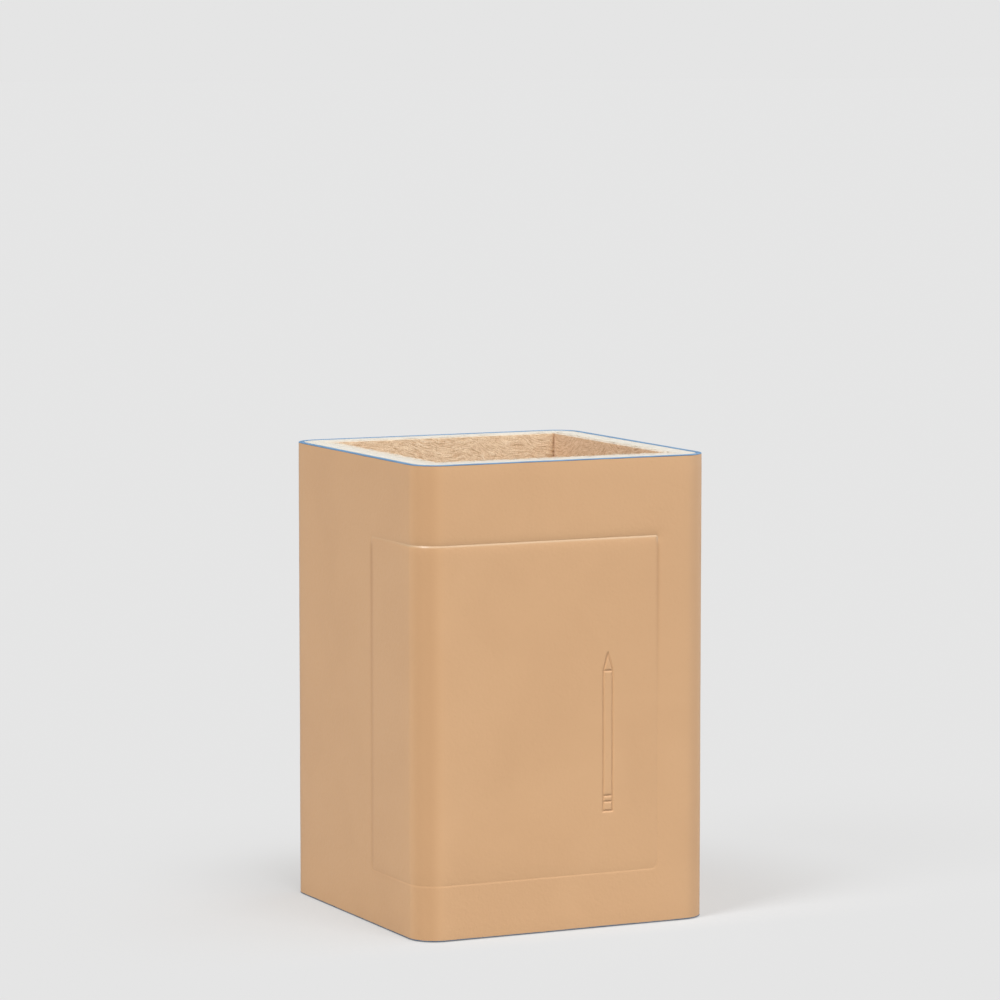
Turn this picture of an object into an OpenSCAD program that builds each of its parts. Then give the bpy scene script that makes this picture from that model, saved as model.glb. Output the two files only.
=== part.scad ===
// Desk pen holder cup: four fibre boards mitred round a base board, wrapped in
// one piece of smooth leather, lined with suede and finished with painted edges.
// Millimetres, +Z up. The origin is the centre of the underside. The -Y face is
// the front, and the pressed panel runs from it round the corner to the -X face.

/* [Body] */
// Width over the leather, along X
cup_w = 75; // [60:1:100]
// Depth over the leather, along Y
cup_d = 75; // [60:1:100]
// Height over the painted edges
cup_h = 110; // [95:1:130]
// Outside radius of the four upright corners
corner_r = 6.5; // [4:0.5:12]

/* [Walls] */
// Thickness of the leather cover
leather_t = 1.3; // [0.9:0.1:2]
// Thickness of the fibre boards
board_t = 4.7; // [3:0.1:6]
// Thickness of the suede lining
lining_t = 1.7; // [1:0.1:2.4]

/* [Base] */
// Thickness of the pad under the base
pad_t = 1.2; // [0.8:0.1:2]
// Thickness of the base board
base_board_t = 3; // [2:0.5:5]
// Thickness of the suede on the floor inside
floor_lining_t = 1.5; // [1:0.1:2.4]

/* [Edge paint] */
// Thickness of the paint on the cut edges of the leather
paint_t = 0.15; // [0.1:0.05:0.5]
// How far the paint laps onto the face
paint_lap = 0.1; // [0.1:0.05:0.5]
// Depth that the lapped paint sits into the leather
paint_skin = 0.15; // [0.1:0.05:0.3]
// Gap between the desk and the painted lower edge, which the pad stands proud of
edge_clear = 0.1; // [0.1:0.05:0.4]

/* [Pressed panel] */
// Height of the panel's lower line above the underside
panel_low = 13; // [10:0.5:20]
// Height of the panel's upper line above the underside
panel_high = 91.5; // [80:0.5:92]
// Distance from the front left corner to the line on the front face
panel_front_run = 61; // [50:0.5:66]
// Distance from the front left corner to the line on the left face
panel_left_run = 27; // [18:0.5:40]
// Depth of the pressed line
crease_depth = 0.35; // [0.2:0.05:0.5]
// Width of the pressed line
crease_w = 1.1; // [0.8:0.1:1.6]

/* [Pencil mark] */
// Length of the pressed pencil outline, along Z
mark_len = 37; // [24:1:44]
// Width of the pencil outline
mark_w = 2.7; // [2.4:0.1:4]
// Height of its middle above the underside
mark_mid_z = 46; // [40:1:56]
// Distance of its middle from the front left corner
mark_run = 48; // [36:1:52]
// Width of the outline's own line
mark_line = 0.4; // [0.3:0.1:0.6]
// Depth of the outline
mark_depth = 0.25; // [0.15:0.05:0.4]

/* [Seam] */
// Gap where the two ends of the leather meet on the back face
seam_gap = 0.15; // [0.1:0.05:0.3]
// Distance of the seam from the back right corner
seam_run = 12; // [9:0.5:20]

/* [Hidden] */

board_in = leather_t + board_t;      // inset of the boards' inner faces
wall_t = board_in + lining_t;        // inset of the lining's inner faces
board_foot = pad_t + base_board_t;   // height at which the boards stand
cover_low = edge_clear + paint_t;    // lower and upper cut edges of the leather
cover_high = cup_h - paint_t;
floor_top = board_foot + floor_lining_t;
front_y = -cup_d / 2;
left_x = -cup_w / 2;
eps = 0.5;                           // overshoot of every cutting shape
$fn = 72;

leather_tan = [0.82, 0.63, 0.46];
suede_tan = [0.80, 0.66, 0.52];
board_cream = [0.92, 0.90, 0.85];
paint_blue = [0.30, 0.50, 0.72];

// Plan of the cup, drawn in by a given inset, with its corners rounded while
// the radius lasts and square after that
module plan(inset) {
    w = cup_w - 2 * inset;
    d = cup_d - 2 * inset;
    r = corner_r - inset;
    if (r > 0.5) {
        square([w - 2 * r, d], center = true);
        square([w, d - 2 * r], center = true);
        for (x = [-1, 1], y = [-1, 1])
            translate([x * (w / 2 - r), y * (d / 2 - r)]) circle(r);
    } else {
        square([w, d], center = true);
    }
}

// Upright band between two insets, from height low to height high
module band(outer, inner, low, high) {
    translate([0, 0, low]) linear_extrude(high - low)
        difference() {
            plan(outer);
            plan(inner);
        }
}

// Solid slab of the plan, from height low to height high
module slab(inset, low, high) {
    translate([0, 0, low]) linear_extrude(high - low) plan(inset);
}

// Mitred quarter of the plan that belongs to the wall turned by a quarter turns
module mitre_wedge(turns) {
    across = turns % 2 == 0 ? cup_w : cup_d;
    out = (turns % 2 == 0 ? cup_d : cup_w) / 2;
    deep = wall_t + eps;
    rotate([0, 0, 90 * turns]) linear_extrude(cup_h + eps)
        polygon([[-across / 2, -out], [across / 2, -out],
                 [across / 2 - deep, deep - out], [deep - across / 2, deep - out]]);
}

// One wall's share of a band
module wall_panel(turns, outer, inner, low) {
    intersection() {
        band(outer, inner, low, cup_h);
        mitre_wedge(turns);
    }
}

// Cross-section of the pressed line, as deep as it is proud of the face
module crease_section() {
    polygon([[-crease_w / 2, 0], [0, crease_depth], [crease_w / 2, 0], [0, -crease_depth]]);
}

// Level run of the pressed line at height z: along the front face, round the
// corner and along the left face
module level_crease(z) {
    translate([left_x + corner_r, front_y, z])
        rotate([90, 0, 90]) linear_extrude(panel_front_run - corner_r)
            rotate([0, 0, 90]) crease_section();
    translate([left_x, front_y + panel_left_run, z])
        rotate([90, 0, 0]) linear_extrude(panel_left_run - corner_r)
            rotate([0, 0, 90]) crease_section();
    translate([left_x + corner_r, front_y + corner_r, z])
        rotate([0, 0, 180]) rotate_extrude(angle = 90)
            translate([corner_r, 0]) rotate([0, 0, 90]) crease_section();
}

// Upright runs of the pressed line, on the front face and on the left face
module upright_creases() {
    translate([left_x + panel_front_run, front_y, panel_low])
        linear_extrude(panel_high - panel_low) crease_section();
    translate([left_x, front_y + panel_left_run, panel_low])
        linear_extrude(panel_high - panel_low) rotate([0, 0, 90]) crease_section();
}

// Pencil outline, point up, centred on its length
module pencil(w, len) {
    tip = 1.6 * w;
    polygon([[-w / 2, -len / 2], [w / 2, -len / 2], [w / 2, len / 2 - tip],
             [0, len / 2], [-w / 2, len / 2 - tip]]);
}

// Pressed pencil mark, with the bands of its ferrule and its sharpened end
module pencil_mark() {
    ferrule = mark_len / 2 - 3;
    shoulder = mark_len / 2 - 1.6 * mark_w;
    translate([left_x + mark_run, front_y + mark_depth, mark_mid_z])
        rotate([90, 0, 0]) linear_extrude(mark_depth + eps) {
            difference() {
                pencil(mark_w, mark_len);
                pencil(mark_w - 2 * mark_line, mark_len - 3 * mark_line);
            }
            for (z = [-ferrule, 1.2 - ferrule, shoulder])
                translate([-mark_w / 2, z]) square([mark_w, mark_line * 0.8]);
        }
}

module leather_cover() {
    color(leather_tan) difference() {
        band(0, leather_t, cover_low, cover_high);
        band(-eps, paint_skin, cover_high - paint_lap, cup_h);
        band(-eps, paint_skin, 0, cover_low + paint_lap);
        level_crease(panel_low);
        level_crease(panel_high);
        upright_creases();
        pencil_mark();
        translate([cup_w / 2 - seam_run, cup_d / 2 - leather_t - eps, 0])
            cube([seam_gap, leather_t + 2 * eps, cup_h]);
    }
}

module top_edge_paint() {
    color(paint_blue) {
        band(0, leather_t, cover_high, cup_h);
        band(0, paint_skin, cover_high - paint_lap, cover_high);
    }
}

module bottom_edge_paint() {
    color(paint_blue) {
        band(0, leather_t, edge_clear, cover_low);
        band(0, paint_skin, cover_low, cover_low + paint_lap);
    }
}

module front_board() {
    color(board_cream) wall_panel(0, leather_t, board_in, board_foot);
}

module right_board() {
    color(board_cream) wall_panel(1, leather_t, board_in, board_foot);
}

module back_board() {
    color(board_cream) wall_panel(2, leather_t, board_in, board_foot);
}

module left_board() {
    color(board_cream) wall_panel(3, leather_t, board_in, board_foot);
}

module base_board() {
    color(board_cream) slab(leather_t, pad_t, board_foot);
}

module front_lining() {
    color(suede_tan) wall_panel(0, board_in, wall_t, floor_top);
}

module right_lining() {
    color(suede_tan) wall_panel(1, board_in, wall_t, floor_top);
}

module back_lining() {
    color(suede_tan) wall_panel(2, board_in, wall_t, floor_top);
}

module left_lining() {
    color(suede_tan) wall_panel(3, board_in, wall_t, floor_top);
}

module floor_lining() {
    color(suede_tan) slab(board_in, board_foot, floor_top);
}

module base_pad() {
    color(suede_tan) slab(leather_t, 0, pad_t);
}

leather_cover();
top_edge_paint();
bottom_edge_paint();
front_board();
back_board();
left_board();
right_board();
base_board();
front_lining();
back_lining();
left_lining();
right_lining();
floor_lining();
base_pad();
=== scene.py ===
import math
import random

import bmesh
import bpy
from mathutils import Matrix, Vector, noise


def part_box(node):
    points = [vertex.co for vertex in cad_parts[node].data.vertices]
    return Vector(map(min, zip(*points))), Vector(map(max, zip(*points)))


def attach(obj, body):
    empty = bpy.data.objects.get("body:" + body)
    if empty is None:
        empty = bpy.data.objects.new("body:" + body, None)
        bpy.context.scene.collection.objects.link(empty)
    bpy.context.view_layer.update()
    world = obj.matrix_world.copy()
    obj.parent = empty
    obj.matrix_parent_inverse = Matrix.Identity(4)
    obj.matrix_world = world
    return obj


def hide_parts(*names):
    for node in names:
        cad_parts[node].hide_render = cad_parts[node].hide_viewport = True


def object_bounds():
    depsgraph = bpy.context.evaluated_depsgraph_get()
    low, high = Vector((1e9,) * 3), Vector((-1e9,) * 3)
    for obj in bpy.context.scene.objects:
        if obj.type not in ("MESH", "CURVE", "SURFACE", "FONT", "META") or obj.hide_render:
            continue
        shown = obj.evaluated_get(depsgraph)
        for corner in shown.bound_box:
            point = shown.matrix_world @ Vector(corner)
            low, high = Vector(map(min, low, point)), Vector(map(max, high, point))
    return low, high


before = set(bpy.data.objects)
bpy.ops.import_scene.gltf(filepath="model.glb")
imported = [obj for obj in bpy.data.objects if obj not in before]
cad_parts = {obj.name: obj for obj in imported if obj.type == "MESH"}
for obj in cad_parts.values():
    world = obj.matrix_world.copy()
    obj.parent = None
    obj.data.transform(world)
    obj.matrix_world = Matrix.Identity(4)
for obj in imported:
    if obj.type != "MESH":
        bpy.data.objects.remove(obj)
cad_low, cad_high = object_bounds()

# ---------------------------------------------------------------- sizes, metres

MM = 0.001
cover_low, cover_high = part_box("leather_cover")
board_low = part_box("front_board")[0]
lining_low, lining_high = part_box("front_lining")
floor_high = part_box("floor_lining")[1]
pad_low, pad_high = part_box("base_pad")
top_paint_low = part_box("top_edge_paint")[0]
low_paint_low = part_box("bottom_edge_paint")[0]

HALF_W, HALF_D, CUP_TOP = cad_high.x, cad_high.y, cad_high.z
PAINT_T = CUP_TOP - cover_high.z
LEATHER_T = board_low.y - cover_low.y
BOARD_IN = lining_low.y - cover_low.y
WALL_T = lining_high.y - cover_low.y
BOARD_FOOT = board_low.z
FLOOR_TOP = floor_high.z
MOUTH = CUP_TOP - 0.1 * MM  # tops of boards and suede, just below the painted edge
NAP_LEAN = math.radians(9)  # how far the combed nap leans from level

CORNER_R = 6.5 * MM
CORE_X = HALF_W - CORNER_R
CORE_Y = HALF_D - CORNER_R
CORNER_STEPS = 14

# pressed panel, measured from the upright edge at -X, -Y
PANEL_LOW = 13 * MM
PANEL_HIGH = 91.5 * MM
PANEL_X = 61 * MM - HALF_W
PANEL_Y = 27 * MM - HALF_D
PANEL_CORNER = 0.6 * MM
PANEL_FOOT_CORNER = 2.2 * PANEL_CORNER
PANEL_RAISE = 0.10 * MM
LIP_W = 0.36 * MM
BURNISH_REACH = 0.42 * MM
# reach of the highlight painted pale just inside the panel's top line
HIGHLIGHT_REACH = 0.24 * MM

# the pressed line along the panel's top, its foot and its sides, in millimetres: its
# depth, its crisp lip inside and outside the panel, and how slowly the leather eases
LINE_DEPTH = (0.15, 0.045, 0.026)
INNER_LIP = (0.075, 0.0, 0.006)
OUTER_LIP = (0.0, 0.036, 0.006)
INNER_EASE = (0.85, 2.4, 1.3)
INNER_SIDE_EASE_LOSS = 0.6  # by which the last of these falls towards the top
OUTER_EASE = (0.80, 0.40, 0.45)

# how dark the line is burnished: everywhere, up the front's side, up the left's
# side, that side's gain towards the top, and along the left's foot
LEAST_BURNISH = 0.04
FRONT_BURNISH = 0.65
LEFT_BURNISH = 0.45
LEFT_BURNISH_GAIN = 0.40
LEFT_FOOT_BURNISH = 0.2

# how much weaker the line is on the left face, how much more so towards the top,
# and how much wider its burnish spreads there
LEFT_WEAK = 0.3
LEFT_WEAK_TOP = 0.4
LEFT_SPREAD = 0.9

# pressed pencil mark on the front face
MARK_X = 48 * MM - HALF_W
MARK_Z = 46 * MM
MARK_LEN = 37 * MM
MARK_W = 2.4 * MM
MARK_LINE = 0.24 * MM
MARK_DEPTH = 0.15 * MM
MARK_BURNISH = 0.75

# butt seam on the back face, and the slight swell of the leather beside it
SEAM_X = HALF_W - 12 * MM
SEAM_HALF = 0.35 * MM
SEAM_DEPTH = 0.45 * MM
SEAM_SWELL = 0.05 * MM

# slow unevenness of the leather, and how far its cut edges are rounded
UNEVEN = 0.035 * MM
EDGE_ROUND = 0.03 * MM

# how strongly painted shade darkens the front left upright corner, and the other three
FRONT_LEFT_CORNER_SHADE = 1.0
OTHER_CORNER_SHADE = 0.15

# uneven lower line of the paint on the leather, slow and fine
DRIP = 0.05 * MM
FINE_DRIP = 0.03 * MM

BOARD_EASE = 0.07 * MM
BOARD_ROUGH = 0.03 * MM
MITRE_SLACK = 0.015 * MM

# height of the nap's locks and tufts, fray of the cut edge, the edge's rounding, and
# how far a suede panel's face stands in from its two ends
NAP_LOCKS = 0.05 * MM
NAP_TUFTS = 0.035 * MM
FRAY = 0.16 * MM
FINE_FRAY = 0.10 * MM
SUEDE_LIP = 0.15 * MM
SUEDE_BOW = 0.28 * MM

# loose fibres along the mouth, in millimetres: least, most and usual
TUFTS_PER_WALL = 22
FIBRES_PER_TUFT = 60
FIBRE_DEPTH = (-0.1, 1.7, 0.3)
FIBRE_LENGTH = (0.15, 0.75, 0.25)
FIBRE_RADIUS = (0.028, 0.055)
FIBRE_TIP = 0.006

PAD_ROLL = 0.3 * MM
PAD_ROLL_STEPS = 3

# out and sideways directions of the four walls
WALLS = {
    "front": (Vector((0, -1, 0)), Vector((1, 0, 0))),
    "right": (Vector((1, 0, 0)), Vector((0, 1, 0))),
    "back": (Vector((0, 1, 0)), Vector((-1, 0, 0))),
    "left": (Vector((-1, 0, 0)), Vector((0, -1, 0))),
}


def clamp(value, low, high):
    return max(low, min(high, value))


def smooth(value, low, high):
    """Eased step from 0 at low to 1 at high, which may be the smaller of the two."""
    t = clamp((value - low) / (high - low), 0.0, 1.0)
    return t * t * (3 - 2 * t)


# ---------------------------------------------------------------- the wall's plan


def wall_frame(wall):
    """Out and sideways directions of a wall, half its length over the leather, and
    the distance of its outer face from the cup's axis."""
    out, side = WALLS[wall]
    half, away = (HALF_W, HALF_D) if abs(out.y) > 0.5 else (HALF_D, HALF_W)
    return out, side, half, away


def core_point(co):
    """Nearest point of the square that the corner arcs are drawn from."""
    return Vector((clamp(co.x, -CORE_X, CORE_X), clamp(co.y, -CORE_Y, CORE_Y), co.z))


def outward(co):
    """Level unit vector out of the cup at a point of its walls."""
    return (co - core_point(co)).normalized()


def at_inset(co, inset, z):
    """The wall point beside co, drawn in by inset, at height z."""
    point = core_point(co) + outward(co) * (CORNER_R - inset)
    return Vector((point.x, point.y, z))


def wall_tube(inset, low, high):
    """Open upright tube that follows the cup's plan."""
    bm = bmesh.new()
    bmesh.ops.create_cube(bm, size=1)
    size = (2 * (HALF_W - inset), 2 * (HALF_D - inset), high - low)
    bmesh.ops.scale(bm, vec=size, verts=bm.verts)
    bmesh.ops.translate(bm, vec=(0, 0, (low + high) / 2), verts=bm.verts)
    uprights = [e for e in bm.edges if abs(e.verts[0].co.z - e.verts[1].co.z) > 1e-6]
    bmesh.ops.bevel(
        bm, geom=uprights, offset=CORNER_R - inset, segments=CORNER_STEPS,
        profile=0.5, material=-1, affect="EDGES",
    )
    ends = [f for f in bm.faces if abs(f.normal.z) > 0.9]
    bmesh.ops.delete(bm, geom=ends, context="FACES_ONLY")
    return bm


def cut(bm, axis, places):
    """Cuts the whole mesh level with each place along an axis."""
    normal = Vector([float(i == axis) for i in range(3)])
    for place in places:
        geom = bm.verts[:] + bm.edges[:] + bm.faces[:]
        bmesh.ops.bisect_plane(
            bm, geom=geom, dist=1e-7, plane_co=normal * place, plane_no=normal
        )


def even(low, high, step):
    """Evenly spread places strictly between low and high."""
    count = max(1, round((high - low) / step))
    return [low + (high - low) * i / count for i in range(1, count)]


def around(centre, offsets):
    """Places on both sides of a centre, and the centre itself."""
    return [centre] + [centre + side * o * MM for side in (-1, 1) for o in offsets]


def thinned(places, gap):
    """Sorted places, leaving out any that is nearer than gap to the one before."""
    kept = []
    for place in sorted(places):
        if not kept or place - kept[-1] > gap:
            kept.append(place)
    return kept


def boundary_loop(bm, z):
    """Open edges that lie near height z."""
    return [
        e for e in bm.edges
        if e.is_boundary and all(abs(v.co.z - z) < 0.3 * MM for v in e.verts)
    ]


def extrude_loop(bm, loop, place):
    """Extrudes an open loop of edges and moves each new vertex with place(co)."""
    made = bmesh.ops.extrude_edge_only(bm, edges=loop)["geom"]
    verts = [g for g in made if isinstance(g, bmesh.types.BMVert)]
    for v in verts:
        v.co = place(v.co)
    fresh = set(verts)
    return [
        e for e in made
        if isinstance(e, bmesh.types.BMEdge) and all(v in fresh for v in e.verts)
    ]


def closed_with(bm, first, last):
    """Closes a shell by bridging its two open loops."""
    bmesh.ops.bridge_loops(bm, edges=first + last)
    bmesh.ops.recalc_face_normals(bm, faces=bm.faces)


def finished(name, bm, material, slot, *nodes):
    """Makes the mesh an object that rides on the cup and stands for its nodes."""
    mesh = bpy.data.meshes.new(name)
    for face in bm.faces:
        face.smooth = True
    bm.to_mesh(mesh)
    bm.free()
    piece = bpy.data.objects.new(name, mesh)
    bpy.context.scene.collection.objects.link(piece)
    piece.data.materials.append(material)
    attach(piece, "root")
    if nodes:
        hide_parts(*nodes)
    return piece


# ---------------------------------------------------------------- shader groups


class Group:
    """A shader node group under construction, with short calls for its parts."""

    def __init__(self, name, inputs, outputs):
        self.tree = bpy.data.node_groups.new(name, "ShaderNodeTree")
        for label, value in inputs.items():
            socket = self.tree.interface.new_socket(
                label, in_out="INPUT", socket_type="NodeSocketFloat"
            )
            socket.default_value = value
        for label, kind in outputs.items():
            self.tree.interface.new_socket(label, in_out="OUTPUT", socket_type=kind)
        self.inp = self.tree.nodes.new("NodeGroupInput")
        self.out = self.tree.nodes.new("NodeGroupOutput")

    def node(self, kind, inputs=(), **settings):
        return add_node(self.tree, kind, inputs, **settings)

    def give(self, label, socket):
        self.tree.links.new(socket, self.out.inputs[label])


def add_node(tree, kind, inputs=(), **settings):
    """New shader node; an input is a value or the socket that feeds it."""
    node = tree.nodes.new(kind)
    for key, value in settings.items():
        setattr(node, key, value)
    for key, value in dict(inputs).items():
        if isinstance(value, bpy.types.NodeSocket):
            tree.links.new(value, node.inputs[key])
        else:
            node.inputs[key].default_value = value
    return node


def ramp(owner, factor, stops):
    """Colour ramp through (place, colour) stops."""
    node = owner.node("ShaderNodeValToRGB", {"Fac": factor})
    elements = node.color_ramp.elements
    while len(elements) < len(stops):
        elements.new(0.5)
    for element, (place, colour) in zip(elements, stops):
        element.position = place
        element.color = (*colour, 1)
    return node.outputs["Color"]


def math_node(owner, operation, a, b=0.0, clamped=False):
    node = owner.node("ShaderNodeMath", {0: a, 1: b}, operation=operation, use_clamp=clamped)
    return node.outputs[0]


def leather_grain_group():
    """Fine pebbled grain with pores, and slow clouds of tone. Scale is per metre."""
    g = Group(
        "leather grain", {"Pebble Scale": 1500.0, "Cloud Scale": 45.0},
        {"Height": "NodeSocketFloat", "Cloud": "NodeSocketFloat", "Pore": "NodeSocketFloat"},
    )
    place = g.node("ShaderNodeTexCoord").outputs["Object"]
    warp = g.node("ShaderNodeTexNoise", {"Vector": place, "Scale": 420.0, "Detail": 2.0})
    bent = g.node(
        "ShaderNodeVectorMath", {0: warp.outputs["Color"], 1: (0.0006, 0.0006, 0.0006), 2: place},
        operation="MULTIPLY_ADD",
    ).outputs[0]
    pebble = g.node(
        "ShaderNodeTexVoronoi", {"Vector": bent, "Scale": g.inp.outputs["Pebble Scale"]},
        feature="SMOOTH_F1",
    ).outputs["Distance"]
    crumple = g.node(
        "ShaderNodeTexNoise",
        {"Vector": place, "Scale": 900.0, "Detail": 4.0, "Roughness": 0.6},
    ).outputs[0]
    dimple = math_node(g, "MULTIPLY", pebble, 0.55)
    g.give("Height", math_node(g, "SUBTRACT", crumple, dimple))
    cloud = g.node(
        "ShaderNodeTexNoise",
        {"Vector": place, "Scale": g.inp.outputs["Cloud Scale"], "Detail": 3.0,
         "Distortion": 0.6},
    ).outputs[0]
    g.give("Cloud", cloud)
    pore_cells = g.node(
        "ShaderNodeTexVoronoi", {"Vector": bent, "Scale": 700.0}, feature="F1"
    ).outputs["Distance"]
    pore = g.node(
        "ShaderNodeMapRange",
        {"Value": pore_cells, "From Min": 0.06, "From Max": 0.2, "To Min": 1.0, "To Max": 0.0},
    ).outputs[0]
    g.give("Pore", pore)
    return g.tree


def fibre_group():
    """Combed suede nap on upright walls: streaks that lean and swirl, with tufts."""
    g = Group(
        "suede fibre", {"Length Scale": 480.0, "Width Scale": 2700.0},
        {"Height": "NodeSocketFloat", "Streak": "NodeSocketFloat", "Tuft": "NodeSocketFloat"},
    )
    place = g.node("ShaderNodeTexCoord").outputs["Object"]
    parts = g.node("ShaderNodeSeparateXYZ", {0: place}).outputs
    along = math_node(g, "ADD", parts[0], parts[1])
    flat = g.node("ShaderNodeCombineXYZ", {0: along, 1: parts[2], 2: 0.0}).outputs[0]
    swirl = g.node("ShaderNodeTexNoise", {"Vector": place, "Scale": 70.0, "Detail": 2.0})
    bent = g.node(
        "ShaderNodeVectorMath", {0: swirl.outputs["Color"], 1: (0.010, 0.010, 0.0), 2: flat},
        operation="MULTIPLY_ADD",
    ).outputs[0]
    turned = g.node(
        "ShaderNodeVectorRotate", {"Vector": bent, "Angle": NAP_LEAN},
        rotation_type="Z_AXIS",
    ).outputs[0]
    turned_parts = g.node("ShaderNodeSeparateXYZ", {0: turned}).outputs
    long_way = math_node(g, "MULTIPLY", turned_parts[0], g.inp.outputs["Length Scale"])
    short_way = math_node(g, "MULTIPLY", turned_parts[1], g.inp.outputs["Width Scale"])
    combed = g.node("ShaderNodeCombineXYZ", {0: long_way, 1: short_way}).outputs[0]
    streak = g.node(
        "ShaderNodeTexNoise",
        {"Vector": combed, "Scale": 1.0, "Detail": 5.0, "Roughness": 0.65, "Distortion": 0.5},
    ).outputs[0]
    tuft = g.node(
        "ShaderNodeTexNoise",
        {"Vector": place, "Scale": 3600.0, "Detail": 3.0, "Roughness": 0.65},
    ).outputs[0]
    g.give("Streak", streak)
    g.give("Tuft", tuft)
    g.give("Height", math_node(g, "ADD", streak, math_node(g, "MULTIPLY", tuft, 0.6)))
    return g.tree


def speckle_group():
    """Fine random speckle and slow unevenness, for board, paint and pad."""
    g = Group(
        "speckle", {"Fine Scale": 1400.0, "Slow Scale": 90.0},
        {"Height": "NodeSocketFloat", "Fine": "NodeSocketFloat", "Slow": "NodeSocketFloat"},
    )
    place = g.node("ShaderNodeTexCoord").outputs["Object"]
    fine = g.node(
        "ShaderNodeTexNoise",
        {"Vector": place, "Scale": g.inp.outputs["Fine Scale"], "Detail": 3.0, "Roughness": 0.6},
    ).outputs[0]
    slow = g.node(
        "ShaderNodeTexNoise",
        {"Vector": place, "Scale": g.inp.outputs["Slow Scale"], "Detail": 2.0},
    ).outputs[0]
    g.give("Fine", fine)
    g.give("Slow", slow)
    g.give("Height", math_node(g, "ADD", fine, math_node(g, "MULTIPLY", slow, 0.5)))
    return g.tree


LEATHER_GRAIN = leather_grain_group()
FIBRE = fibre_group()
SPECKLE = speckle_group()


# ---------------------------------------------------------------- materials


class Finish:
    """A material under construction."""

    def __init__(self, name, roughness, specular=0.4, sheen=0.0, sheen_roughness=0.5):
        self.material = bpy.data.materials.new(name)
        self.material.use_nodes = True
        self.tree = self.material.node_tree
        self.shader = self.tree.nodes["Principled BSDF"]
        self.shader.inputs["Roughness"].default_value = roughness
        self.shader.inputs["Specular IOR Level"].default_value = specular
        self.shader.inputs["Sheen Weight"].default_value = sheen
        self.shader.inputs["Sheen Roughness"].default_value = sheen_roughness

    def node(self, kind, inputs=(), **settings):
        return add_node(self.tree, kind, inputs, **settings)

    def group(self, tree, **values):
        node = self.node("ShaderNodeGroup", node_tree=tree)
        for label, value in values.items():
            node.inputs[label.replace("_", " ")].default_value = value
        return node.outputs

    def blend(self, factor, a, b, mode="MIX"):
        """Mix of two colours. The node keeps its colour sockets at 0, 6, 7 and 2."""
        node = self.node("ShaderNodeMix", data_type="RGBA", blend_type=mode)
        for index, value in ((0, factor), (6, a), (7, b)):
            if isinstance(value, bpy.types.NodeSocket):
                self.tree.links.new(value, node.inputs[index])
            elif index == 0:
                node.inputs[index].default_value = value
            else:
                node.inputs[index].default_value = (*value, 1)
        return node.outputs[2]

    def colour(self, socket):
        self.tree.links.new(socket, self.shader.inputs["Base Color"])

    def roughness(self, factor, low, high):
        spread = self.node(
            "ShaderNodeMapRange", {"Value": factor, "To Min": low, "To Max": high}
        ).outputs[0]
        self.tree.links.new(spread, self.shader.inputs["Roughness"])

    def bump(self, height, strength, distance):
        node = self.node(
            "ShaderNodeBump", {"Height": height, "Strength": strength, "Distance": distance}
        )
        self.tree.links.new(node.outputs[0], self.shader.inputs["Normal"])


def cover_leather():
    f = Finish("cover leather", roughness=0.45, specular=0.65)
    grain = f.group(LEATHER_GRAIN)
    tone = ramp(f, grain["Cloud"], [
        (0.30, (0.632, 0.372, 0.191)), (0.52, (0.648, 0.384, 0.198)), (0.75, (0.660, 0.394, 0.205)),
    ])
    pored = f.blend(math_node(f, "MULTIPLY", grain["Pore"], 0.07), tone, (0.42, 0.22, 0.10))
    pressed = f.node("ShaderNodeAttribute", attribute_name="pressed").outputs["Fac"]
    burnt = f.blend(math_node(f, "MULTIPLY", pressed, 0.4, clamped=True), pored, (0.36, 0.15, 0.052))
    # painted shade: a darker, browner tone down the upright corners, strongest at the front left
    corner_shade = f.node("ShaderNodeAttribute", attribute_name="corner_shade").outputs["Fac"]
    corner_shaded = f.blend(corner_shade, burnt, (0.545, 0.312, 0.154))
    # painted highlight: the panel's upper lip paled towards a whiter tone where the light catches it
    lip_highlight = f.node("ShaderNodeAttribute", attribute_name="lip_highlight").outputs["Fac"]
    f.colour(f.blend(math_node(f, "MULTIPLY", lip_highlight, 0.85), corner_shaded, (0.555, 0.390, 0.240)))
    f.roughness(grain["Height"], 0.36, 0.48)
    f.bump(grain["Height"], 0.20, 0.14 * MM)
    return f.material


def edge_paint():
    f = Finish("blue edge paint", roughness=0.4, specular=0.5)
    spots = f.group(SPECKLE, Fine_Scale=1100.0, Slow_Scale=160.0)
    paint = ramp(f, spots["Slow"], [
        (0.30, (0.110, 0.225, 0.385)), (0.70, (0.150, 0.280, 0.450)),
    ])
    # painted shade with some grime: the paint darkened where the lower edge meets the desk
    grime_and_shade = f.node("ShaderNodeAttribute", attribute_name="grime_and_shade").outputs["Fac"]
    uneven = f.node(
        "ShaderNodeMapRange", {"Value": spots["Fine"], "To Min": 0.7, "To Max": 1.15}
    ).outputs[0]
    darkened = math_node(f, "MULTIPLY", grime_and_shade, uneven, clamped=True)
    f.colour(f.blend(darkened, paint, (0.050, 0.052, 0.060)))
    f.roughness(spots["Fine"], 0.32, 0.52)
    f.bump(spots["Height"], 0.25, 0.08 * MM)
    return f.material


def core_board():
    f = Finish("cream core board", roughness=0.75, specular=0.25)
    spots = f.group(SPECKLE, Fine_Scale=1700.0, Slow_Scale=120.0)
    pale = ramp(f, spots["Fine"], [
        (0.30, (0.520, 0.487, 0.422)), (0.50, (0.553, 0.525, 0.469)), (0.70, (0.582, 0.558, 0.511)),
    ])
    f.colour(f.blend(math_node(f, "MULTIPLY", spots["Slow"], 0.25), pale, (0.535, 0.488, 0.413)))
    f.roughness(spots["Slow"], 0.65, 0.85)
    f.bump(spots["Height"], 0.35, 0.12 * MM)
    return f.material


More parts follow.
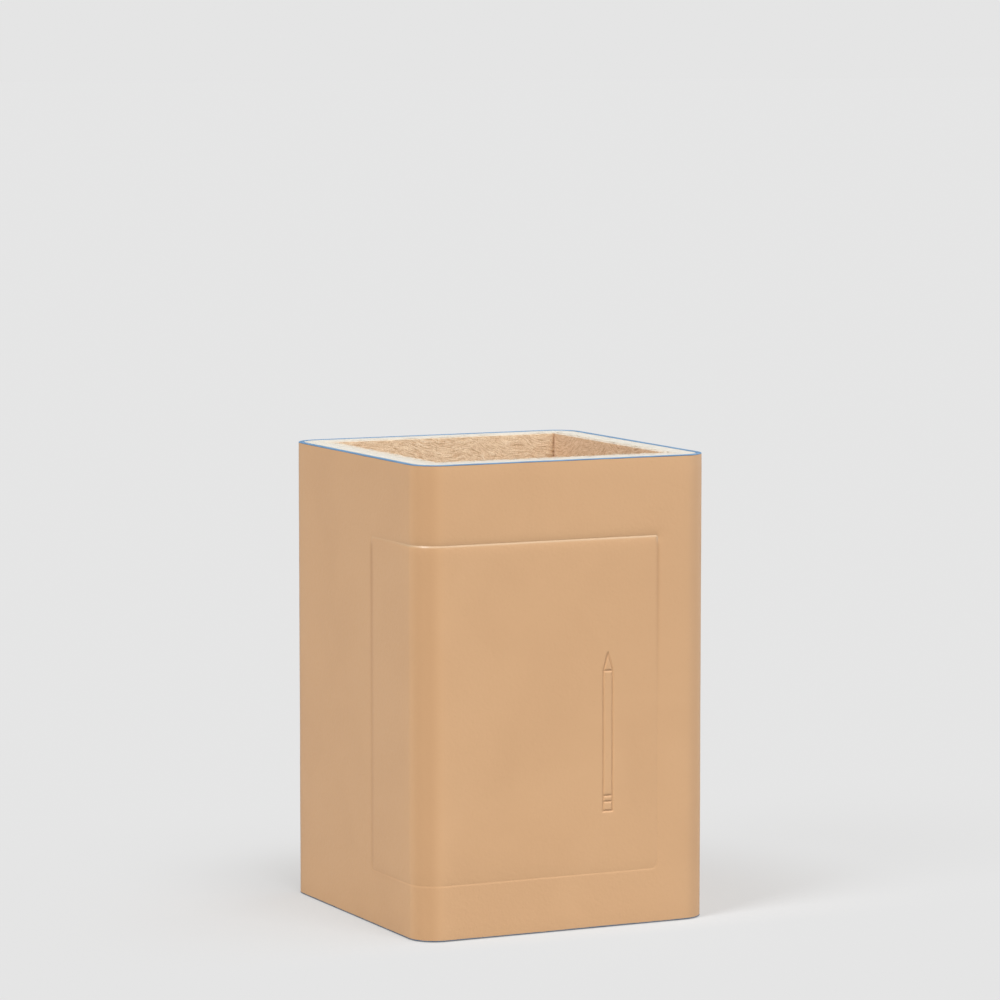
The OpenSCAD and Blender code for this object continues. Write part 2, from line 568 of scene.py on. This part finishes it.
def lining_suede():
    """Suede nap, gone pale where the cut edge shows at the mouth."""
    f = Finish("lining suede", roughness=0.95, specular=0.15, sheen=0.3, sheen_roughness=0.45)
    nap = f.group(FIBRE)
    tone = ramp(f, nap["Streak"], [
        (0.32, (0.48, 0.325, 0.195)), (0.44, (0.70, 0.515, 0.345)),
        (0.57, (0.82, 0.655, 0.465)), (0.68, (0.93, 0.79, 0.62)),
    ])
    speckled = ramp(f, nap["Tuft"], [
        (0.32, (0.60, 0.47, 0.36)), (0.48, (0.93, 0.90, 0.86)), (0.62, (1.0, 1.0, 1.0)),
    ])
    lit = f.blend(0.58, tone, speckled, "MULTIPLY")
    # painted shade: the right wall's suede darkened
    right_wall_shade = f.node("ShaderNodeAttribute", attribute_name="right_wall_shade").outputs["Fac"]
    lit = f.blend(right_wall_shade, lit, f.blend(1.0, lit, (0.824, 0.734, 0.672), "MULTIPLY"))
    place = f.node("ShaderNodeTexCoord").outputs["Object"]
    height = f.node("ShaderNodeSeparateXYZ", {0: place}).outputs[2]
    ragged = math_node(f, "ADD", height, math_node(f, "MULTIPLY", nap["Tuft"], 0.5 * MM))
    pale = f.node(
        "ShaderNodeMapRange",
        {"Value": ragged, "From Min": MOUTH + 0.02 * MM, "From Max": MOUTH + 0.22 * MM,
         "To Min": 0.0, "To Max": 0.85},
    ).outputs[0]
    f.colour(f.blend(pale, lit, (0.54, 0.495, 0.42)))
    f.bump(nap["Height"], 0.5, 0.22 * MM)
    return f.material


def base_suede():
    f = Finish("base suede", roughness=0.95, specular=0.15, sheen=0.25)
    spots = f.group(SPECKLE, Fine_Scale=900.0, Slow_Scale=60.0)
    short_nap = ramp(f, spots["Fine"], [
        (0.30, (0.28, 0.165, 0.095)), (0.70, (0.50, 0.335, 0.215)),
    ])
    f.colour(f.blend(math_node(f, "MULTIPLY", spots["Slow"], 0.4), short_nap, (0.42, 0.27, 0.16)))
    f.bump(spots["Height"], 0.7, 0.25 * MM)
    return f.material


COVER_LEATHER = cover_leather()
EDGE_PAINT = edge_paint()
CORE_BOARD = core_board()
LINING_SUEDE = lining_suede()
BASE_SUEDE = base_suede()


# ---------------------------------------------------------------- leather cover

ARC = CORNER_R * math.pi / 2

# distances of the mesh's cuts from the pressed line, the seam, the mark's strokes
# and the cut edges, in millimetres
CREASE_ROWS = (0.07, 0.15, 0.25, 0.37, 0.52, 0.72, 1.0, 1.4, 2.0, 3.0)
SEAM_ROWS = (0.08, 0.18, 0.3, 0.45, 0.8, 1.6, 3)
MARK_ROWS = (0.08, 0.16, 0.25, 0.36, 0.5, 0.7)
EDGE_ROWS = (0.1, 0.25, 0.5)
FACE_STEP = 4 * MM
LEAST_GAP = 0.05 * MM


def unrolled(co):
    """Distance round the cover from the middle of the front left corner,
    positive on the front face."""
    if co.y < -CORE_Y and co.x > -CORE_X:
        return co.x + CORE_X + ARC / 2
    if co.x < -CORE_X and co.y > -CORE_Y:
        return -(co.y + CORE_Y) - ARC / 2
    turn = math.atan2(-co.y - CORE_Y, -co.x - CORE_X)
    return (turn - math.pi / 4) * CORNER_R


PANEL_U = (-(PANEL_Y + CORE_Y) - ARC / 2, PANEL_X + CORE_X + ARC / 2)


def panel_distance(u, z):
    """Signed distance to the panel's outline, negative inside it."""
    corner = PANEL_FOOT_CORNER if u > 0 and z < MARK_Z else PANEL_CORNER
    mid_u, half_u = sum(PANEL_U) / 2, (PANEL_U[1] - PANEL_U[0]) / 2
    mid_z, half_z = (PANEL_LOW + PANEL_HIGH) / 2, (PANEL_HIGH - PANEL_LOW) / 2
    qx = abs(u - mid_u) - half_u + corner
    qz = abs(z - mid_z) - half_z + corner
    outside = math.hypot(max(qx, 0.0), max(qz, 0.0))
    return outside + min(max(qx, qz), 0.0) - corner


def climb(away, height, lip, reach):
    """Rise of the leather away from the line: a straight lip, then a slow ease."""
    return lip * min(away / LIP_W, 1.0) + (height - lip) * (1 - math.exp(-away / reach))


def shared(parts, amounts):
    """Mix of the amounts for the top, the foot and the sides, in the given parts."""
    return sum(part * amount for part, amount in zip(parts, amounts))


def crease(u, z):
    """Outward move of the leather by the panel's pressed line, how dark the line is
    burnished, and how strongly a painted highlight pales the panel's upper lip. The
    move is in metres and the other two run from 0 to 1.

    Along the top the panel climbs to a crisp lip. Along the foot it eases down to
    the line, and up the sides the line is soft and shallow. All of it is weaker on
    the left face."""
    d = panel_distance(u, z)
    side = smooth(min(abs(u - end) for end in PANEL_U), 3 * MM, 1 * MM)
    side *= smooth(min(z - PANEL_LOW, PANEL_HIGH - z), 0.5 * MM, 2.5 * MM)
    high = smooth(z, PANEL_LOW + 30 * MM, PANEL_HIGH)
    left_face = smooth(u, -ARC / 2 - 3 * MM, -ARC)
    top, foot = high * (1 - side), (1 - high) * (1 - side)
    parts = (top, foot, side)
    force = 1 - (LEFT_WEAK + LEFT_WEAK_TOP * high) * left_face
    deep = shared(parts, LINE_DEPTH) * force * MM
    if d < 0:
        rise = PANEL_RAISE * force + deep
        lip = shared(parts, INNER_LIP) * force * MM
        top_ease, foot_ease, side_ease = INNER_EASE
        eases = (top_ease, foot_ease, side_ease - INNER_SIDE_EASE_LOSS * high)
    else:
        rise = deep
        lip = shared(parts, OUTER_LIP) * force * MM
        eases = OUTER_EASE
    move = climb(abs(d), rise, lip, shared(parts, eases) * MM) - deep
    front_side = FRONT_BURNISH * high * (1 - left_face)
    left_side = (LEFT_BURNISH + LEFT_BURNISH_GAIN * high) * left_face
    burnish = LEAST_BURNISH + (front_side + left_side) * side
    burnish += LEFT_FOOT_BURNISH * foot * left_face
    spread = BURNISH_REACH * (1 + LEFT_SPREAD * left_face)
    lip_highlight = top * force * math.exp(-(((d + LIP_W / 2) / HIGHLIGHT_REACH) ** 2))
    return move, burnish * math.exp(-((d / spread) ** 2)), lip_highlight


def segment_distance(x, z, start, end):
    run = Vector(end) - Vector(start)
    t = clamp((Vector((x, z)) - Vector(start)).dot(run) / run.length_squared, 0.0, 1.0)
    return (Vector((x, z)) - Vector(start) - run * t).length


def mark_lines():
    """Straight strokes of the pencil outline, in the front face's x and z."""
    w, low, tip = MARK_W / 2, MARK_Z - MARK_LEN / 2, MARK_Z + MARK_LEN / 2
    shoulder = tip - 1.7 * MARK_W
    bands = (low + 2.2 * MM, low + 3.6 * MM)
    x = MARK_X
    strokes = [
        ((x - w, low), (x + w, low)), ((x - w, low), (x - w, shoulder)),
        ((x + w, low), (x + w, shoulder)), ((x - w, shoulder), (x, tip)),
        ((x + w, shoulder), (x, tip)), ((x - w, shoulder), (x + w, shoulder)),
    ]
    return strokes + [((x - w, z), (x + w, z)) for z in bands]


MARK_STROKES = mark_lines()
MARK_ZS = sorted({round(z, 6) for stroke in MARK_STROKES for _, z in stroke})


def mark_press(co):
    """How far the pencil mark is pressed in, from 0 to 1."""
    if abs(co.x - MARK_X) > MARK_W or abs(co.z - MARK_Z) > MARK_LEN / 2 + 2 * MM or co.y > 0:
        return 0.0
    near = min(segment_distance(co.x, co.z, *stroke) for stroke in MARK_STROKES)
    return math.exp(-((near / MARK_LINE) ** 2))


def cover_relief(co):
    """Outward move of the leather at a point, how far it is pressed, and how strongly a painted
    highlight pales it.
    The panel is on the front and left faces, the mark on the front, the seam on
    the back."""
    u, z = unrolled(co), co.z
    move, pressed, lip_highlight = 0.0, 0.0, 0.0
    on_panel_faces = co.y < -CORE_Y or co.x < -CORE_X
    if on_panel_faces and PANEL_U[0] - 8 * MM < u < PANEL_U[1] + 8 * MM:
        move, pressed, lip_highlight = crease(u, z)
        stamp = mark_press(co)
        move -= MARK_DEPTH * stamp
        pressed = max(pressed, MARK_BURNISH * stamp)
    if co.y > CORE_Y:
        gap = abs(co.x - SEAM_X)
        move -= SEAM_DEPTH * smooth(gap, SEAM_HALF, 0.0)
        move += SEAM_SWELL * math.exp(-gap / (2 * MM))
        pressed = max(pressed, smooth(gap, SEAM_HALF, 0.0))
    slow = noise.noise(co * 55.0) + 0.5 * noise.noise(co * 140.0)
    move += UNEVEN * slow
    edge = min(z - cover_low.z, cover_high.z - z)
    move -= EDGE_ROUND * smooth(edge, 0.5 * MM, 0.0)
    return move, pressed, lip_highlight


def make_leather_cover():
    """Smooth leather round the four walls, with its pressed panel, mark and seam."""
    bm = wall_tube(0.0, cover_low.z, cover_high.z)
    columns = even(-CORE_X, CORE_X, FACE_STEP) + around(PANEL_X, CREASE_ROWS)
    columns += around(SEAM_X, SEAM_ROWS)
    columns += even(MARK_X - MARK_W, MARK_X + MARK_W, 0.1 * MM)
    cut(bm, 0, thinned(columns, LEAST_GAP))
    sides = even(-CORE_Y, CORE_Y, FACE_STEP) + around(PANEL_Y, CREASE_ROWS)
    cut(bm, 1, thinned(sides, LEAST_GAP))
    rows = even(cover_low.z, cover_high.z, FACE_STEP)
    rows += around(PANEL_LOW, CREASE_ROWS) + around(PANEL_HIGH, CREASE_ROWS)
    for z in MARK_ZS:
        rows += around(z, MARK_ROWS)
    rows += even(MARK_ZS[-2], MARK_ZS[-1], 0.14 * MM)
    rows += [cover_low.z + s * MM for s in EDGE_ROWS]
    rows += [cover_high.z - s * MM for s in EDGE_ROWS]
    cut(bm, 2, thinned(rows, LEAST_GAP))
    press_layer = bm.verts.layers.float.new("pressed")
    highlight_layer = bm.verts.layers.float.new("lip_highlight")
    corner_shade = bm.verts.layers.float.new("corner_shade")
    for v in bm.verts:
        out = outward(v.co)
        # painted shade down the upright corners, full at the front left corner and faint on the
        # others
        shade_amount = FRONT_LEFT_CORNER_SHADE if out.x < 0 and out.y < 0 else OTHER_CORNER_SHADE
        v[corner_shade] = shade_amount * smooth(min(abs(out.x), abs(out.y)), 0.05, 0.6)
        move, pressed, lip_highlight = cover_relief(v.co)
        v.co += out * move
        v[press_layer] = pressed
        v[highlight_layer] = lip_highlight
    outer_foot = boundary_loop(bm, cover_low.z)
    loop = boundary_loop(bm, cover_high.z)
    loop = extrude_loop(bm, loop, lambda co: at_inset(co, LEATHER_T, co.z))
    loop = extrude_loop(bm, loop, lambda co: at_inset(co, LEATHER_T, cover_low.z))
    closed_with(bm, loop, outer_foot)
    return finished("wrapped_leather", bm, COVER_LEATHER, "cover_leather", "leather_cover")


# ---------------------------------------------------------------- rings round the wall


def ring(profile, wobble):
    """Closed ring round the cup, from (inset, height) points, outside first."""
    inset, foot = profile[0]
    bm = wall_tube(inset, foot, foot + 1 * MM)
    cut(bm, 0, even(-CORE_X, CORE_X, 2.5 * MM))
    cut(bm, 1, even(-CORE_Y, CORE_Y, 2.5 * MM))
    first = boundary_loop(bm, foot)
    loop = boundary_loop(bm, foot + 1 * MM)
    inset, z = profile[1]
    for v in {v for e in loop for v in e.verts}:
        v.co = at_inset(v.co, inset, z)
    for inset, z in profile[2:]:
        loop = extrude_loop(bm, loop, lambda co: at_inset(co, inset, z))
    closed_with(bm, loop, first)
    for v in bm.verts:
        v.co += wobble(v.co)
    return bm


def make_edge_paint(name, node, face, away, lap, stand, grime_and_shade):
    """Domed bead of paint on a cut edge at height face; away is -1 below it."""
    deep = PAINT_T / MM + 0.02
    # inset from the leather's face and height over the cut edge, in millimetres
    sections = [
        (0.17, -lap / MM), (stand + 0.02, -lap / MM + 0.03), (stand, -0.12), (stand + 0.04, -0.06),
        (stand + 0.15, -0.015), (0.6, 0.0), (1.1, -0.01), (LEATHER_T / MM, -0.04),
        (LEATHER_T / MM, -deep), (0.19, -deep),
    ]
    profile = [(i * MM, face + away * z * MM) for i, z in sections]

    def wobble(co):
        depth = (face - co.z) * away
        drip = DRIP * noise.noise(co * 260.0) + FINE_DRIP * noise.noise(co * 900.0)
        return Vector((0, 0, -away * drip * smooth(depth, 0.12 * MM, lap)))

    bm = ring(profile, wobble)
    # how much painted contact shade and grime darken this bead
    layer = bm.verts.layers.float.new("grime_and_shade")
    for v in bm.verts:
        v[layer] = grime_and_shade
    return finished(name, bm, EDGE_PAINT, "edge_paint", node)


# ---------------------------------------------------------------- boards


def mitre_cut(bm, wall):
    """Keeps one wall's share of a ring, cut at 45 degrees through its corners."""
    out, side = WALLS[wall]
    reach = Vector((HALF_W, HALF_D, 0))
    for hand in (-1, 1):
        corner = Vector([(out + side * hand)[i] * reach[i] for i in range(3)])
        normal = (side * hand - out).normalized()
        geom = bm.verts[:] + bm.edges[:] + bm.faces[:]
        cut_edges = bmesh.ops.bisect_plane(
            bm, geom=geom, dist=1e-7, plane_co=corner - normal * MITRE_SLACK, plane_no=normal,
            clear_outer=True,
        )["geom_cut"]
        loop = [e for e in cut_edges if isinstance(e, bmesh.types.BMEdge)]
        bmesh.ops.edgeloop_fill(bm, edges=loop)


def make_board(wall):
    """Upright fibre board with eased arrises, its cut edge showing at the mouth."""
    ease, top = BOARD_EASE, MOUTH
    profile = [
        (LEATHER_T, BOARD_FOOT), (LEATHER_T, top - ease), (LEATHER_T + ease, top),
        (LEATHER_T + 1.6 * MM, top), (BOARD_IN - 1.2 * MM, top), (BOARD_IN - 0.5 * ease, top),
        (BOARD_IN, top - 0.5 * ease), (BOARD_IN, BOARD_FOOT),
    ]

    def wobble(co):
        rough = noise.noise(co * 300.0) + 0.6 * noise.noise(co * 800.0)
        return Vector((0, 0, BOARD_ROUGH * rough)) if co.z > top - ease else Vector()

    bm = ring(profile, wobble)
    mitre_cut(bm, wall)
    bmesh.ops.recalc_face_normals(bm, faces=bm.faces)
    return finished(f"{wall}_core_board", bm, CORE_BOARD, "core_board", f"{wall}_board")


# ---------------------------------------------------------------- suede lining


def suede_rise(h, z, seed):
    """Height of the combed nap over a wall, h along it and z up it."""
    lean = NAP_LEAN + 0.7 * noise.noise(Vector((h * 60, z * 60, seed)))
    along = h * math.cos(lean) + z * math.sin(lean)
    across = z * math.cos(lean) - h * math.sin(lean)
    locks = noise.noise(Vector((along * 260, across * 1000, seed + 7)))
    tufts = noise.noise(Vector((h * 520, z * 520, seed + 3)))
    return NAP_LOCKS * locks + NAP_TUFTS * tufts


def make_lining_panel(wall):
    """Suede panel: nap inside, a raw cut edge at the mouth and mitred ends."""
    out, side, reach, away = wall_frame(wall)
    seed = float(list(WALLS).index(wall) * 11)
    half = reach - WALL_T
    thick = WALL_T - BOARD_IN
    lip = SUEDE_LIP
    face_low, face_high = FLOOR_TOP, MOUTH - lip
    # shares of the grid's rows: on the face's finer top part, on the cut edge, and
    # of those last the ones that round the lip
    fine_part, fine_share = 12 * MM, 0.32
    lip_share, bend_share = 0.055, 0.4
    bm = bmesh.new()
    bmesh.ops.create_grid(bm, x_segments=110, y_segments=120, size=0.5)
    right_wall_shade = bm.verts.layers.float.new("right_wall_shade")

    def path(t):
        """Depth into the wall and height, from the foot to the back of the cut edge."""
        if t > 1 - lip_share:
            s = (t - 1 + lip_share) / lip_share
            if s < bend_share:
                a = s / bend_share * math.pi / 2
                return lip * (1 - math.cos(a)), face_high + lip * math.sin(a)
            return lip + (thick - lip) * (s - bend_share) / (1 - bend_share), MOUTH
        t /= 1 - lip_share
        if t > 1 - fine_share:
            return 0.0, face_high - fine_part * (1 - t) / fine_share
        return 0.0, face_low + (face_high - fine_part - face_low) * t / (1 - fine_share)

    for v in bm.verts:
        h, t = v.co.x * 2, v.co.y + 0.5
        depth, z = path(clamp(t, 0.0, 1.0))
        hold = smooth(1 - abs(h), 0.0, 0.02)
        along = h * (half + depth)
        inward = -suede_rise(along, z, seed) * hold
        if depth > 0:
            fray = FRAY * noise.noise(Vector((along * 700, seed, depth * 900)))
            fray += FINE_FRAY * noise.noise(Vector((along * 1900, seed, depth * 900)))
            z += fray * hold * smooth(thick - depth, 0.0, 0.5 * MM)
        bow = SUEDE_BOW * smooth(abs(h), 1.0, 0.965)
        from_axis = away - WALL_T + depth + inward - bow * (1 - depth / thick)
        place = out * from_axis + side * along
        v.co = Vector((place.x, place.y, z))
        # painted shade on the right wall only
        v[right_wall_shade] = 1.0 if wall == "right" else 0.0
    rim_edges = [e for e in bm.edges if e.is_boundary]
    for edge in rim_edges:
        edge.smooth = False

    def to_back(co):
        """Where a point of the panel's rim meets the board behind it."""
        along = co.dot(side)
        depth = co.dot(out) - (away - WALL_T)
        reach_now = half + clamp(depth, 0.0, thick)
        h = clamp(along / reach_now, -1.0, 1.0)
        place = out * (away - BOARD_IN) + side * h * (half + thick)
        return Vector((place.x, place.y, co.z))

    extrude_loop(bm, rim_edges, to_back)
    bmesh.ops.remove_doubles(bm, verts=bm.verts, dist=0.002 * MM)
    bmesh.ops.edgeloop_fill(bm, edges=[e for e in bm.edges if e.is_boundary])
    bmesh.ops.recalc_face_normals(bm, faces=bm.faces)
    return finished(f"{wall}_suede", bm, LINING_SUEDE, "lining_suede", f"{wall}_lining")


def make_floor_suede():
    """Suede on the floor inside, flat where the wall panels stand on it."""
    bm = bmesh.new()
    bmesh.ops.create_grid(bm, x_segments=100, y_segments=100, size=0.5)
    half_x, half_y = HALF_W - BOARD_IN, HALF_D - BOARD_IN
    for v in bm.verts:
        x, y = v.co.x * 2 * half_x, v.co.y * 2 * half_y
        edge = min(half_x - abs(x), half_y - abs(y))
        nap = suede_rise(x + 0.3 * y, y, 51.0) * smooth(edge, 1.4 * MM, 2.2 * MM)
        v.co = Vector((x, y, FLOOR_TOP + nap))
    skirt = [e for e in bm.edges if e.is_boundary]
    extrude_loop(bm, skirt, lambda co: Vector((co.x, co.y, BOARD_FOOT)))
    bmesh.ops.edgeloop_fill(bm, edges=[e for e in bm.edges if e.is_boundary])
    bmesh.ops.recalc_face_normals(bm, faces=bm.faces)
    return finished("floor_suede", bm, LINING_SUEDE, "lining_suede", "floor_lining")


def fibre_tuft(rng, wall):
    """Small mesh of loose fibres, spread along one wall's cut suede edge."""
    out, side, reach, away = wall_frame(wall)
    half = reach - WALL_T
    bm = bmesh.new()
    for _ in range(FIBRES_PER_TUFT):
        along = rng.uniform(-half, half)
        depth = rng.triangular(*FIBRE_DEPTH) * MM
        clump = noise.noise(Vector((along * 350, half * 10, list(WALLS).index(wall) * 5.0)))
        length = rng.triangular(*FIBRE_LENGTH) * (0.75 + 0.6 * max(clump, -0.6)) * MM
        lean = Vector((rng.gauss(0, 0.5), rng.gauss(0, 0.5), 1)) - out * 0.35
        turn = Vector((0, 0, 1)).rotation_difference(lean).to_matrix().to_4x4()
        root = out * (away - WALL_T + depth) + side * along
        root.z = MOUTH - 0.1 * MM
        middle = Matrix.Translation(root + lean.normalized() * length / 2)
        bmesh.ops.create_cone(
            bm, segments=3, radius1=rng.uniform(*FIBRE_RADIUS) * MM, radius2=FIBRE_TIP * MM,
            depth=length, matrix=middle @ turn, cap_ends=True,
        )
    tuft = bpy.data.meshes.new("tuft")
    bm.to_mesh(tuft)
    bm.free()
    return tuft


def make_rim_fibres():
    """Loose fibres of the raw suede edge, standing up along the mouth."""
    rng = random.Random(4)
    bm = bmesh.new()
    for wall in WALLS:
        for _ in range(TUFTS_PER_WALL):
            tuft = fibre_tuft(rng, wall)
            bm.from_mesh(tuft)
            bpy.data.meshes.remove(tuft)
    return finished("rim_nap_fibres", bm, LINING_SUEDE, "lining_suede")


# ---------------------------------------------------------------- base


def make_base_pad():
    """Suede pad inside the cover's lower edge, its own edge rolled slightly."""
    bm = wall_tube(LEATHER_T, pad_low.z, pad_high.z)
    cut(bm, 0, even(-CORE_X, CORE_X, 1.5 * MM))
    cut(bm, 1, even(-CORE_Y, CORE_Y, 1.5 * MM))
    middle = (pad_low.z + pad_high.z) / 2
    loops = [e for e in bm.edges if e.is_boundary]
    foot = [e for e in loops if e.verts[0].co.z < middle]
    top = [e for e in loops if e.verts[0].co.z > middle]
    roll = PAD_ROLL
    for v in {v for e in foot for v in e.verts}:
        v.co = at_inset(v.co, LEATHER_T + 0.02 * MM, pad_low.z + roll)
    for step in range(1, PAD_ROLL_STEPS + 1):
        a = step / PAD_ROLL_STEPS * math.pi / 2
        inset = LEATHER_T + roll * (1 - math.cos(a))
        z = pad_low.z + roll * (1 - math.sin(a))
        foot = extrude_loop(bm, foot, lambda co: at_inset(co, inset, z))
    bmesh.ops.edgeloop_fill(bm, edges=foot)
    bmesh.ops.edgeloop_fill(bm, edges=top)
    bmesh.ops.recalc_face_normals(bm, faces=bm.faces)
    return finished("base_suede_pad", bm, BASE_SUEDE, "base_suede", "base_pad")


make_leather_cover()
make_edge_paint(
    "upper_edge_paint", "top_edge_paint", face=CUP_TOP, away=1,
    lap=CUP_TOP - top_paint_low.z, stand=-0.02, grime_and_shade=0.0,
)
# the lower bead is darkened by painted contact shade and some grime
make_edge_paint(
    "lower_edge_paint", "bottom_edge_paint", face=low_paint_low.z, away=-1,
    lap=PAINT_T + 0.15 * MM, stand=-0.02, grime_and_shade=0.8,
)
for wall in WALLS:
    make_board(wall)
    make_lining_panel(wall)
make_floor_suede()
make_rim_fibres()
make_base_pad()
base_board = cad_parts["base_board"]
base_board.data.materials.clear()
base_board.data.materials.append(CORE_BOARD)


# ---------------------------------------------------------------- stage, light, camera

# tone of the backdrop to the camera, and the level light from all round
BACKDROP = 0.783
FILL = 0.15
FLOOR_HALF = 20.0
FLOOR_DROP = 0.05 * MM
PAPER = (0.24, 0.25, 0.26)
# the paper answers shadows fully up to the first distance from the cup's axis,
# and only by the far share beyond the second
PAPER_NEAR, PAPER_FAR, PAPER_FAR_SHARE = 0.048, 0.115, 0.2
# in front of the cup, where nothing shades it, it answers the cup's own glow less
PAPER_FRONT, PAPER_FRONT_SHARE = 0.012, 0.15
# each light's turn from the front towards the right and its height, in degrees,
# how brightly it lights an upright face that is turned to it, and its spread
LIGHTS = {
    "left softbox": (-70, 40, 0.715, 22),
    "right softbox": (78, 16, 0.80, 100),
    "top softbox": (5, 58, 0.335, 30),
}

CAMERA_LENS = 164.2
CAMERA_PLACE = Vector((-0.46615, -0.97337, 0.20637))
CAMERA_AIM = Vector((0.00055, -0.00027, 0.0973))


def light_way(turn, rise):
    """Unit vector from the cup to a light."""
    turn, rise = math.radians(turn), math.radians(rise)
    level = Vector((math.sin(turn), -math.cos(turn), 0)) * math.cos(rise)
    return level + Vector((0, 0, math.sin(rise)))


def make_floor():
    """Pale paper. To the camera it glows by what it lacks of the backdrop's tone."""
    mesh = bpy.data.meshes.new("studio_floor")
    bm = bmesh.new()
    bmesh.ops.create_grid(bm, x_segments=1, y_segments=1, size=FLOOR_HALF)
    bmesh.ops.translate(bm, vec=(0, 0, -FLOOR_DROP), verts=bm.verts)
    bm.to_mesh(mesh)
    bm.free()
    floor = bpy.data.objects.new("studio_floor", mesh)
    bpy.context.scene.collection.objects.link(floor)
    f = Finish("studio paper", roughness=1.0, specular=0.0)
    arriving = FILL
    for _, rise, level, _ in LIGHTS.values():
        arriving += level * math.tan(math.radians(rise))
    seen = f.node("ShaderNodeLightPath").outputs["Is Camera Ray"]
    place = f.node("ShaderNodeTexCoord").outputs["Object"]
    away = f.node("ShaderNodeVectorMath", {0: place}, operation="LENGTH").outputs["Value"]
    answer = f.node(
        "ShaderNodeMapRange",
        {0: away, 1: PAPER_NEAR, 2: PAPER_FAR, 3: 1.0, 4: PAPER_FAR_SHARE},
        interpolation_type="SMOOTHSTEP",
    ).outputs[0]
    depth = f.node("ShaderNodeSeparateXYZ", {0: place}).outputs[1]
    front = f.node(
        "ShaderNodeMapRange",
        {0: depth, 1: -HALF_D, 2: -HALF_D - PAPER_FRONT, 3: 1.0, 4: PAPER_FRONT_SHARE},
    ).outputs[0]
    answer = math_node(f, "MULTIPLY", answer, front)
    f.colour(f.blend(seen, PAPER, f.blend(answer, (0, 0, 0), PAPER)))
    lit = [tone * arriving for tone in PAPER]
    missing = f.blend(1.0, (BACKDROP,) * 3, f.blend(answer, (0, 0, 0), lit), "SUBTRACT")
    f.tree.links.new(missing, f.shader.inputs["Emission Color"])
    f.tree.links.new(seen, f.shader.inputs["Emission Strength"])
    mesh.materials.append(f.material)


def make_light():
    world = bpy.data.worlds.new("studio")
    world.use_nodes = True
    tree = world.node_tree
    seen = add_node(tree, "ShaderNodeLightPath").outputs["Is Camera Ray"]
    strength = add_node(tree, "ShaderNodeMapRange", {0: seen, 3: FILL, 4: BACKDROP}).outputs[0]
    background = tree.nodes["Background"]
    background.inputs["Color"].default_value = (1, 1, 1, 1)
    tree.links.new(strength, background.inputs["Strength"])
    bpy.context.scene.world = world
    bpy.context.scene.view_settings.view_transform = "Standard"
    for name, (turn, rise, level, spread) in LIGHTS.items():
        light = bpy.data.lights.new(name, "SUN")
        light.energy = level * math.pi / math.cos(math.radians(rise))
        light.angle = math.radians(spread)
        lamp = bpy.data.objects.new(name, light)
        lamp.rotation_mode = "QUATERNION"
        lamp.rotation_quaternion = light_way(turn, rise).to_track_quat("Z", "Y")
        bpy.context.scene.collection.objects.link(lamp)


def make_camera():
    data = bpy.data.cameras.new("camera")
    data.lens = CAMERA_LENS
    data.sensor_width = 36
    camera = bpy.data.objects.new("camera", data)
    camera.location = CAMERA_PLACE
    camera.rotation_mode = "QUATERNION"
    camera.rotation_quaternion = (CAMERA_AIM - CAMERA_PLACE).to_track_quat("-Z", "Y")
    data.clip_start, data.clip_end = 0.01, 100
    bpy.context.scene.collection.objects.link(camera)
    bpy.context.scene.camera = camera


make_floor()
make_light()
make_camera()
